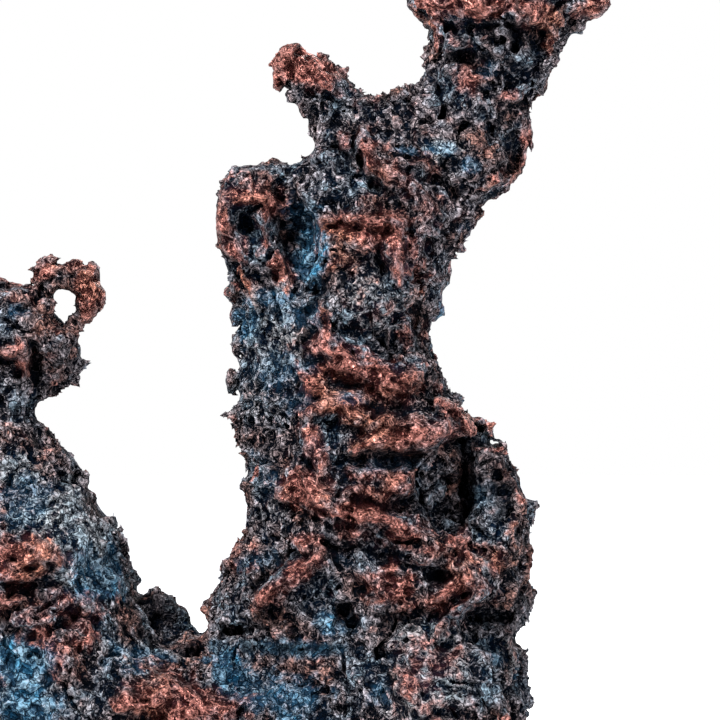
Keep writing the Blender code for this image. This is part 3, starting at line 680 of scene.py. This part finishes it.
def broadDressing(points):
    # knobs, lumps, folds and pits: how far they stand out of the plain limbs
    bent = warped(points, *skin["broadWarp"])
    sheet = readSheets(points, ("height", "trim", "sheen"))
    calm = 1 - skin["broadCalm"] * sheet["sheen"]
    knobs, lumps = ((skin["level"] - pebbles(bent, skin[key][0], seed)) * skin[key][1]
                    for key, seed in (("knobs", 0.2), ("lumps", 0.9)))
    knobs = knobs * (skin["stays"] + (1 - skin["stays"]) * calm)
    return sheet["height"] + sheet["trim"] - skin["sink"] + knobs + lumps * calm


def creased(points, bent):
    # crinkles that run one way here and another way there
    turn = ramp(clouds(points, *skin["turns"]), 0.42, 0.58)
    oneWay = crests(bent, skin["crinkles"][0], 0.5, (0.55, 1.0, 1.25))
    otherWay = crests(bent, skin["crinkles"][0], 1.1, (1.25, 0.55, 1.0))
    return oneWay * turn + otherWay * (1 - turn)


def fineDressing(points):
    # crinkles, grains and clefts
    bent = warped(points, *skin["fineWarp"])
    sheet = readSheets(points, ("ripple", "sheen"))
    calm = 1 - skin["fineCalm"] * sheet["sheen"]
    crinkles = (creased(points, bent) - 0.5) * skin["crinkles"][1]
    grains = (crests(bent, skin["grains"][0], 1.3) - 0.5) * skin["grains"][1]
    cleft = ramp(crests(points, skin["clefts"][0], 0.35), *skin["cleftSteep"])
    cleft *= ramp(clouds(points, *skin["cleftRegions"]), 0.35, 0.6)
    grains = grains * (skin["stays"] + (1 - skin["stays"]) * calm)
    return sheet["ripple"] + crinkles * calm - cleft * skin["clefts"][1] * calm + grains


broadShape = np.ceil((highCorner - lowCorner) / grid["middle"]).astype(int) + 1
broad = regridded(plain, grid["coarse"], lowCorner, grid["middle"], broadShape)
near = np.flatnonzero(np.abs(broad.ravel()) < grid["broadBand"])
where = np.stack(np.unravel_index(near, broad.shape), axis=1).astype(np.float32) * np.float32(grid["middle"])
broad.ravel()[near] -= broadDressing(where + lowCorner.astype(np.float32))
say(f"broad forms laid on in {len(near)} cells")

# the pieces: the nodes that each stands for, its span to the right and up in millimetres, and how many
# thousands of triangles its front and its back may have
pieces = {
    "foot": (("foot",), (-6.4, 40), (-1, 19.4), (72, 46)),
    "leftLimbLow": (("left_limb",), (-40, -6.4), (-1, 19.4), (92, 44)),
    "leftLimbHigh": (("left_limb",), (-40, -6.4), (19.4, 41.3), (84, 36)),
    "leftHead": (("left_head",), (-40, -6.4), (41.3, 95), (42, 18)),
    "trunkLow": (("trunk", "side_lobe"), (-6.4, 40), (19.4, 44), (186, 62)),
    "trunkHigh": (("trunk",), (-6.4, 40), (44, 68), (146, 48)),
    "crown": (("crown", "spur", "trunk"), (-6.4, 40), (68, 95), (82, 34)),
}
mesher = {
    "frontCell": 0.2,
    "backCell": 0.29,
    "parting": 1.0,  # how far back the front pieces reach
    "reach": 30,  # how far forward and back they all may go
    "overlap": 2,  # cells that neighbours share, so that no seam opens
    "core": 0.5,  # what lies this deep surely belongs to the nugget
    "firm": 0.1,  # what hangs on by less than twice this is dropped
    "open": 0.9,  # and what lies this far out is surely open air
    "pushed": 0.1,  # how far a crumb or a bubble is moved over the surface
    "sunk": 0.05,  # how far a piece's edge lies under its neighbour
    "proudPasses": 7,  # blur passes that tell what stands proud, for the painted shade and highlights
    "proudGain": 1.6,
}


def reachable(start, room):
    # the part of room that can be walked to from start
    start = start & room
    while True:
        before = np.count_nonzero(start)
        for axis in range(3):
            forward, rooms = np.moveaxis(start, axis, 0), np.moveaxis(room, axis, 0)
            for i in range(1, len(forward)):
                forward[i] |= forward[i - 1] & rooms[i]
            for i in range(len(forward) - 2, -1, -1):
                forward[i] |= forward[i + 1] & rooms[i]
        if np.count_nonzero(start) < before * 1.00002 + 3:
            return start


def widened(room, steps):
    for _ in range(steps):
        for axis in range(3):
            wider, rooms = np.moveaxis(room.copy(), axis, 0), np.moveaxis(room, axis, 0)
            wider[1:] |= rooms[:-1]
            wider[:-1] |= rooms[1:]
            room = np.moveaxis(wider, 0, axis)
    return room


def shapePiece(low, high, cell):
    # one closed piece of the dressed nugget, between two corners
    margin = (mesher["overlap"] + 1) * cell
    low = np.maximum(low - margin, lowCorner)
    high = np.minimum(high + margin, highCorner)
    shape = np.ceil((high - low) / cell).astype(int) + 1
    field = regridded(broad, grid["middle"], low, cell, shape)
    core = field < -mesher["core"]
    near = np.flatnonzero(np.abs(field.ravel()) < grid["fineBand"])
    where = np.stack(np.unravel_index(near, field.shape), axis=1).astype(np.float32) * np.float32(cell)
    field.ravel()[near] -= fineDressing(where + low.astype(np.float32))
    ground = (low[2] + np.arange(shape[2]) * cell).astype(np.float32)
    field = np.maximum(field, -ground[None, None, :])  # the resting faces stay flat
    field = np.clip(field, -grid["fineBand"], grid["fineBand"]).astype(np.float32)
    proud = blurred(field[::2, ::2, ::2], mesher["proudPasses"])
    rim = np.zeros(shape, bool)
    for axis in range(3):
        side = np.moveaxis(rim, axis, 0)
        side[:2] = side[-2:] = True
    field[rim] += mesher["sunk"]
    for axis in range(3):
        side = np.moveaxis(field, axis, 0)
        side[0] = side[-1] = grid["fineBand"]
    solid = field < 0
    firm = widened(reachable(core, field < -mesher["firm"]), 2)
    field[solid & ~firm] = mesher["pushed"]  # loose crumbs and threads go
    solid = field < 0
    field[solid & ~reachable(core, solid)] = mesher["pushed"]
    air = field >= 0
    field[air & ~reachable(field > mesher["open"], air)] = -mesher["pushed"]  # and so do shut bubbles
    levels = openvdb.FloatGrid(grid["fineBand"])
    levels.transform = openvdb.createLinearTransform(voxelSize=cell)
    levels.copyFromArray(field.astype(np.float32))
    points, quads = levels.convertToQuads(0.0)
    return points + low.astype(np.float32), quads.astype(np.int64), proud, low


def mended(mesh):
    # drops torn faces and closes the few holes that thinning leaves
    shape = bmesh.new()
    shape.from_mesh(mesh)
    for _ in range(3):
        torn = [edge for edge in shape.edges if len(edge.link_faces) > 2]
        shape.faces.index_update()
        faces = {face.index: face for edge in torn for face in edge.link_faces}
        bmesh.ops.delete(shape, geom=[faces[index] for index in sorted(faces)], context="FACES")
        openEdges = [edge for edge in shape.edges if edge.is_boundary]
        if not torn and not openEdges:
            break
        bmesh.ops.holes_fill(shape, edges=openEdges, sides=0)
    bmesh.ops.triangulate(shape, faces=[face for face in shape.faces if len(face.verts) > 3])
    shape.to_mesh(mesh)
    shape.free()


def biggestIsland(mesh):
    # keeps the one body that nearly all of the faces belong to
    edges = np.empty(len(mesh.edges) * 2, np.int32)
    mesh.edges.foreach_get("vertices", edges)
    edges = edges.reshape(-1, 2)
    label = np.arange(len(mesh.vertices))
    while True:
        before = label.copy()
        lower = np.minimum(label[edges[:, 0]], label[edges[:, 1]])
        np.minimum.at(label, edges[:, 0], lower)
        np.minimum.at(label, edges[:, 1], lower)
        label = label[label[label]]
        if np.array_equal(label, before):
            break
    loose = np.flatnonzero(label != np.bincount(label).argmax())
    if len(loose):
        shape = bmesh.new()
        shape.from_mesh(mesh)
        shape.verts.ensure_lookup_table()
        bmesh.ops.delete(shape, geom=[shape.verts[i] for i in loose], context="VERTS")
        shape.to_mesh(mesh)
        shape.free()


def meshFrom(name, points, quads):
    mesh = bpy.data.meshes.new(name)
    mesh.vertices.add(len(points))
    mesh.vertices.foreach_set("co", (points / 1000).astype(np.float32).ravel())
    mesh.loops.add(len(quads) * 4)
    mesh.loops.foreach_set("vertex_index", quads.astype(np.int32).ravel())
    mesh.polygons.add(len(quads))
    mesh.polygons.foreach_set("loop_start", np.arange(0, len(quads) * 4, 4, dtype=np.int32))
    mesh.update(calc_edges=True)
    return mesh


def thinned(mesh, triangles):
    # fewer triangles, kept where the surface bends most
    thick = bpy.data.objects.new("thick", mesh)
    bpy.context.scene.collection.objects.link(thick)
    thinning = thick.modifiers.new("thin", "DECIMATE")
    thinning.use_collapse_triangulate = True
    thinning.ratio = min(1.0, triangles / (len(mesh.polygons) * 2))
    made = bpy.data.meshes.new_from_object(thick.evaluated_get(bpy.context.evaluated_depsgraph_get()))
    bpy.data.objects.remove(thick)
    bpy.data.meshes.remove(mesh)
    return made


# what the material reads of the charts: bare copper, blue and pale patina, and painted shade
looksKeys = ("copper", "blue", "pale", "paintedShade")


def dressMesh(mesh, proud, low, cell):
    # what the skin is like at each point, for the material
    points = np.empty(len(mesh.vertices) * 3, np.float32)
    mesh.vertices.foreach_get("co", points)
    points = points.reshape(-1, 3) * 1000
    points[:, 2] = np.maximum(points[:, 2], 0)  # nothing reaches below the resting faces
    mesh.vertices.foreach_set("co", (points / 1000).ravel())
    looks = readSheets(points, looksKeys)
    # how far each point stands out of its surroundings, which the material paints lit or in shade
    looks["proud"] = np.clip(0.5 + readAt(proud, cell * 2, low, points) * mesher["proudGain"], 0, 1)
    # the crinkles' crests, which the material paints lit as highlights
    looks["crest"] = creased(points, warped(points, *skin["fineWarp"]))
    for key, values in looks.items():
        mesh.attributes.new(key, "FLOAT", "POINT").data.foreach_set("value", values.astype(np.float32))
    mesh.shade_smooth()


nuggetPieces = []
for pieceName, (nodes, across, up, budgets) in pieces.items():
    for side, budget in zip(("Front", "Back"), budgets):
        if side == "Front":
            cell, depth = mesher["frontCell"], (-mesher["reach"], mesher["parting"])
        else:
            cell, depth = mesher["backCell"], (mesher["parting"], mesher["reach"])
        low = np.array((across[0], depth[0], up[0]), float)
        high = np.array((across[1], depth[1], up[1]), float)
        points, quads, proud, low = shapePiece(low, high, cell)
        mesh = meshFrom(pieceName + side, points, quads)
        mesh = thinned(mesh, budget * 1000)
        biggestIsland(mesh)
        mended(mesh)
        mesh.name = pieceName + side
        dressMesh(mesh, proud, low, cell)
        piece = bpy.data.objects.new(pieceName + side, mesh)
        bpy.context.scene.collection.objects.link(piece)
        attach(piece, "root")
        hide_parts(*nodes)
        nuggetPieces.append(piece)
        say(f"{piece.name}: {len(quads) * 2} triangles, {len(mesh.polygons)} kept")
say(f"{sum(len(piece.data.polygons) for piece in nuggetPieces)} triangles in all")


class Wire:
    # one socket of a material, so that shader maths reads as sums
    def __init__(self, tree, socket=None):
        self.tree, self.socket = tree, socket

    def node(self, kind, settings=None, sockets=None, out=0):
        made = self.tree.nodes.new(kind)
        for key, value in (settings or {}).items():
            setattr(made, key, value)
        for key, value in (sockets or {}).items():
            if isinstance(value, Wire):
                self.tree.links.new(value.socket, made.inputs[key])
            else:
                made.inputs[key].default_value = value
        return Wire(self.tree, made.outputs[out])

    def sum(self, operation, a, b=0.0, clamp=False):
        return self.node("ShaderNodeMath", {"operation": operation, "use_clamp": clamp}, {0: a, 1: b})

    def __add__(self, other):
        return self.sum("ADD", self, other)

    def __sub__(self, other):
        return self.sum("SUBTRACT", self, other)

    def __mul__(self, other):
        return self.sum("MULTIPLY", self, other)

    def __pow__(self, other):
        return self.sum("POWER", self, other)

    def __rsub__(self, other):
        return self.sum("SUBTRACT", other, self)

    def __abs__(self):
        return self.sum("ABSOLUTE", self)

    __radd__, __rmul__ = __add__, __mul__

    def clipped(self):
        return self.sum("ADD", self, 0.0, clamp=True)


def mixed(share, a, b):
    # the colour a where share is 0, and b where it is 1
    return share.node("ShaderNodeMix", {"data_type": "RGBA"}, {0: share, 6: a, 7: b}, out=2)


# the skin's colours, as light that each reflects, in lit and shaded copies, and what decides between them
copperPaint = {
    # painted shade, for the crust's furrows, cracks and gaps and for shadowed places
    "furrowShade": (0.0006, 0.0012, 0.0028, 1),
    # the crust where it is painted lit: grey, cool or brown
    "litGrey": (0.37, 0.33, 0.36, 1),
    "litCool": (0.22, 0.30, 0.37, 1),
    "litBrown": (0.33, 0.18, 0.155, 1),
    # bare copper painted in shade, then painted lit in pink or orange
    "shadedCopper": (0.055, 0.011, 0.008, 1),
    "litPinkCopper": (0.53, 0.23, 0.195, 1),
    "litOrangeCopper": (0.57, 0.265, 0.18, 1),
    # painted shade with a blue tint for the cool crust and pale patina, then blue patina painted in shade,
    # then patina where it is lit
    "blueFurrowShade": (0.0006, 0.005, 0.014, 1),
    "blueShade": (0.001, 0.014, 0.040, 1),
    "azure": (0.035, 0.21, 0.36, 1),
    "patina": (0.32, 0.375, 0.41, 1),
    "coarseLines": (1.25, 6.5),  # fine crinkles, raised by the bump and painted lit as highlights: (millimetres between them, how thin they are)
    "fineLines": (0.65, 6.0),
    "cracks": (0.95, 15.0),  # thin lines painted dark as shade
    "lineNoise": (1.0, 0.5, 0.8),  # detail, roughness and how they wind
    "broadNoise": (5.0, 3.0),  # (millimetres, detail)
    "speckNoise": (1.3, 2.0),
    "hueNoise": (8.0, 1.0),
    "granule": 1.15,  # millimetres across the scales that the skin is split into
    "ragged": 1.0,  # millimetres that their outlines wander
    "raggedNoise": (5 / 6, 1.0),
    "gapSteep": 9.0,  # how sharply scales part
    "rimAt": 0.13,  # the rim just inside a scale's edge, painted lit as a highlight, and how thin it is
    "rimThin": 11.0,
    # what makes a spot painted lit rather than in shade, and by how much: standing out, crests, lines, rims
    # and gaps paint light and shade, pale patina and each scale's chance give its own tone
    "bright": {"proud": 0.55, "crest": 0.32, "line": 0.46, "threadHighlight": 0.56, "rim": 0.26, "pale": 0.10,
               "chance": 0.22, "gap": 0.2},
    "brightFrom": 0.87,
    "brightCurve": 1.6,
    # what bares the copper
    "bare": {"copper": 1.6, "speck": 1.9, "broad": 1.0},
    "bareFrom": 0.28,
    "warmFrom": 0.45,  # parts of the broad noise that are brown, and those that are cool
    "coolBelow": 0.525,
    "orangeFrom": 0.52,  # and of the hue noise that are orange
    "fleckFrom": 0.54,  # specks of copper on the crust
    "fleckStrength": 0.35,
    "crackShadeOnMetal": 0.75,
    "crackShadeOnCrust": 0.5,
    "gloss": 0.02,
    "roughness": (0.75, 0.33),  # of the crust, and how much smoother bare copper is
    "metallic": 0.5,
    "relief": 0.0003,  # metres between the lowest and the highest of the finest relief
}


def copperMaterial():
    made = bpy.data.materials.new("nativeCopper")
    made.use_nodes = True
    tree = made.node_tree
    shader = tree.nodes["Principled BSDF"]
    wire = Wire(tree)
    paint = copperPaint
    shader.inputs["Specular IOR Level"].default_value = paint["gloss"]
    mask = {key: wire.node("ShaderNodeAttribute", {"attribute_name": key}, out=2)
            for key in looksKeys + ("proud", "crest")}
    place = wire.node("ShaderNodeTexCoord", out=3)

    def noise(size, detail=0.0, rough=0.5, warp=0.0, out=0):
        return wire.node("ShaderNodeTexNoise", out=out, sockets={
            "Vector": place, "Scale": 1000 / size, "Detail": detail, "Roughness": rough, "Distortion": warp})

    def lines(size, thin):
        # thin winding crests: 1 on a line, 0 away from it
        return (1 - abs(noise(size, *paint["lineNoise"]) - 0.5) * thin).clipped()

    # crinkle lines for highlights and bump, and crack lines painted dark as shade
    coarse, fine, crackShade = lines(*paint["coarseLines"]), lines(*paint["fineLines"]), lines(*paint["cracks"])
    broadNoise, speck, hueNoise = (noise(*paint[key]) for key in ("broadNoise", "speckNoise", "hueNoise"))
    # lines along the crinkles' crests, painted lit as highlights; the line pattern also raises the bump
    line = (coarse * 0.6 + fine * 0.6).clipped()
    threadHighlight = (coarse ** 4.0) * 0.5 + (fine ** 4.0) * 0.5

    # scales with ragged outlines, and a chance number for each
    wander = wire.node("ShaderNodeVectorMath", {"operation": "MULTIPLY_ADD"}, {
        0: noise(*paint["raggedNoise"], out=1), 1: [paint["ragged"] * 2 / 1000] * 3, 2: place})
    scales = {"Vector": wander, "Scale": 1000 / paint["granule"]}
    edge = wire.node("ShaderNodeTexVoronoi", {"feature": "DISTANCE_TO_EDGE"}, scales)
    scaleColour = wire.node("ShaderNodeTexVoronoi", sockets=scales, out=1)
    luck = wire.node("ShaderNodeSeparateColor", sockets={0: scaleColour})
    # the gaps between scales are painted dark as shade, and a rim inside each edge is painted lit as a
    # highlight
    gap = (edge * paint["gapSteep"]).clipped()
    rim = (1 - abs(edge - paint["rimAt"]) * paint["rimThin"]).clipped()

    known = {**mask, "line": line, "threadHighlight": threadHighlight, "rim": rim, "gap": gap,
             "chance": luck - 0.5, "speck": speck - 0.5, "broad": broadNoise - 0.5}

    def weighed(weights, least):
        return (sum(known[key] * weight for key, weight in weights.items()) - least).clipped()

    # painted light and shade, with the crust's own tone: lit where it stands out and along crests, shaded in
    # hollows and gaps
    paintedLightAndTone = weighed(paint["bright"], paint["brightFrom"]) ** paint["brightCurve"]
    bare = weighed(paint["bare"], paint["bareFrom"])

    # the crust: grey, brown or cool where it is painted lit, painted in shade in its furrows and along its
    # cracks
    warm = ((broadNoise - paint["warmFrom"]) * 4.0 + (luck - 0.5) * 0.8).clipped()
    cool = ((paint["coolBelow"] - broadNoise) * 4.0 + (luck - 0.5) * 0.8 + mask["pale"] * 0.5).clipped()
    high = mixed(cool, mixed(warm, paint["litGrey"], paint["litBrown"]), paint["litCool"])
    grey = mixed(paintedLightAndTone, mixed(cool, paint["furrowShade"], paint["blueFurrowShade"]), high)
    grey = mixed(crackShade * paint["crackShadeOnCrust"], grey, paint["furrowShade"])

    # patina, pale and azure, painted lit and in shade
    pale = mixed((paintedLightAndTone * 1.25).clipped(), paint["blueFurrowShade"], paint["patina"])
    paleShare = (mask["pale"] * 1.1 * ((broadNoise - 0.25) * 2.5).clipped()).clipped()
    bluest = mixed((luck * 0.5).clipped(), paint["azure"], paint["patina"])
    blue = mixed((paintedLightAndTone * 1.5 + 0.10).clipped(), paint["blueShade"], bluest)
    blueShare = (mask["blue"] * 1.4 + (speck - 0.5) * 1.6 * mask["blue"] - 0.08).clipped()

    # bare copper, painted lit and in shade and darkened along cracks, and flecks of it on the crust where it
    # is painted lit
    hue = ((hueNoise - paint["orangeFrom"]) * 5.0).clipped()
    copperHighlight = mixed(hue, paint["litPinkCopper"], paint["litOrangeCopper"])
    metal = mixed((paintedLightAndTone * 1.25 + 0.02).clipped(), paint["shadedCopper"], copperHighlight)
    metal = mixed(crackShade * paint["crackShadeOnMetal"], metal, paint["shadedCopper"])
    fleck = ((speck - paint["fleckFrom"]) * 6.0).clipped() * paint["fleckStrength"] * paintedLightAndTone

    colour = mixed(paleShare, grey, pale)
    colour = mixed((blueShare * 0.9).clipped(), colour, blue)
    # bare copper over it, shown most where it is painted lit
    colour = mixed((bare * (paintedLightAndTone * 2.5 + 0.4).clipped() + fleck).clipped(), colour, metal)
    # painted shade over deep pits, grooves and shadowed places, fainter on bare copper
    colour = mixed((mask["paintedShade"] * 0.85 * (1 - bare)).clipped(), colour, paint["furrowShade"])
    gapDepth = 0.6 - bare * 0.4  # gaps between scales are shallower and fainter on bare copper, both in the bump and in the shade painted in them
    colour = mixed((1 - gap) * gapDepth, colour, paint["furrowShade"])
    crust, smoother = paint["roughness"]
    bump = wire.node("ShaderNodeBump", sockets={
        "Strength": 1.0, "Distance": paint["relief"], "Height": line + speck * 0.4 + gap * gapDepth})
    for socket, value in {"Base Color": colour, "Roughness": crust - bare * smoother,
                          "Metallic": (bare * paint["metallic"]).clipped(), "Normal": bump}.items():
        tree.links.new(value.socket, shader.inputs[socket])
    return made


nativeCopper = copperMaterial()
for piece in nuggetPieces:
    piece.data.materials.append(nativeCopper)

# floor, lights and camera, in metres
studio = {
    "floorHalf": 3.0,
    "floorPaper": (0.85, 0.85, 0.85, 1),
    "floorRoughness": 0.9,
    "glow": ((0.3, 0.3, 0.3, 1), (1, 1, 1, 1)),  # the floor's own light, near the nugget and away from it
    "glowFrom": 0.16,
    "glowTo": 0.28,
    "air": (0.165, 0.195, 0.24, 1),  # light from all round
    "backdrop": (1, 1, 1, 1),  # what is seen behind
    "aim": (0, 0, 0.045),
    # place, size, watts and colour of each lamp
    "key": ((-0.22, -0.4, 0.5), 0.16, 10.5, (1.0, 0.97, 0.94)),
    "back": ((0.25, 0.55, 0.4), 0.3, 3.5, (1.0, 0.98, 0.95)),
    "fill": ((0.45, -0.5, 0.25), 0.3, 2.5, (0.92, 0.97, 1.0)),
}
bpy.ops.mesh.primitive_plane_add(size=studio["floorHalf"] * 2, location=(0, 0, 0))
floor = bpy.context.object
floor.name = "floor"


def floorMaterial():
    # the floor brightens to plain white away from the nugget
    made = bpy.data.materials.new("floorPaper")
    made.use_nodes = True
    shader = made.node_tree.nodes["Principled BSDF"]
    wire = Wire(made.node_tree)
    away = wire.node("ShaderNodeVectorMath", {"operation": "LENGTH"}, {
        0: wire.node("ShaderNodeTexCoord", out=3)}, out=1)
    share = ((away - studio["glowFrom"]) * (1 / (studio["glowTo"] - studio["glowFrom"]))).clipped()
    shader.inputs["Base Color"].default_value = studio["floorPaper"]
    shader.inputs["Roughness"].default_value = studio["floorRoughness"]
    shader.inputs["Emission Strength"].default_value = 1.0
    made.node_tree.links.new(mixed(share, *studio["glow"]).socket, shader.inputs["Emission Color"])
    return made


floor.data.materials.append(floorMaterial())
world = bpy.data.worlds.new("studio")
bpy.context.scene.world = world
world.use_nodes = True
seen = Wire(world.node_tree).node("ShaderNodeLightPath")
shown = mixed(seen, studio["air"], studio["backdrop"])
world.node_tree.links.new(shown.socket, world.node_tree.nodes["Background"].inputs["Color"])


def softLight(name, place, size, power, colour):
    data = bpy.data.lights.new(name, "AREA")
    data.energy = power
    data.size = size
    data.color = colour
    lamp = bpy.data.objects.new(name, data)
    bpy.context.scene.collection.objects.link(lamp)
    lamp.location = place
    lamp.rotation_euler = (Vector(studio["aim"]) - Vector(place)).to_track_quat("-Z", "Y").to_euler()


for name in ("key", "back", "fill"):
    softLight(name, *studio[name])

view = {
    "centre": (360, 360),  # on the chart
    "distance": 1.0,
    "front": 0.009,  # how far the nugget's front stands before the origin
    "wide": 0.072,  # what the frame spans there
    "sensor": 36,  # millimetres
    "nearest": 0.01,
}
lens = bpy.data.cameras.new("camera")
camera = bpy.data.objects.new("camera", lens)
bpy.context.scene.collection.objects.link(camera)
bpy.context.scene.camera = camera
middle = placeOn(view["centre"]) / 1000
camera.location = (middle[0], -view["distance"], middle[1])
camera.rotation_euler = (radians(90), 0, 0)
lens.sensor_width = view["sensor"]
lens.lens = view["sensor"] * (view["distance"] - view["front"]) / view["wide"]
lens.clip_start = view["nearest"]
bpy.context.scene.view_settings.view_transform = "Standard"

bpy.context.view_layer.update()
say("done")
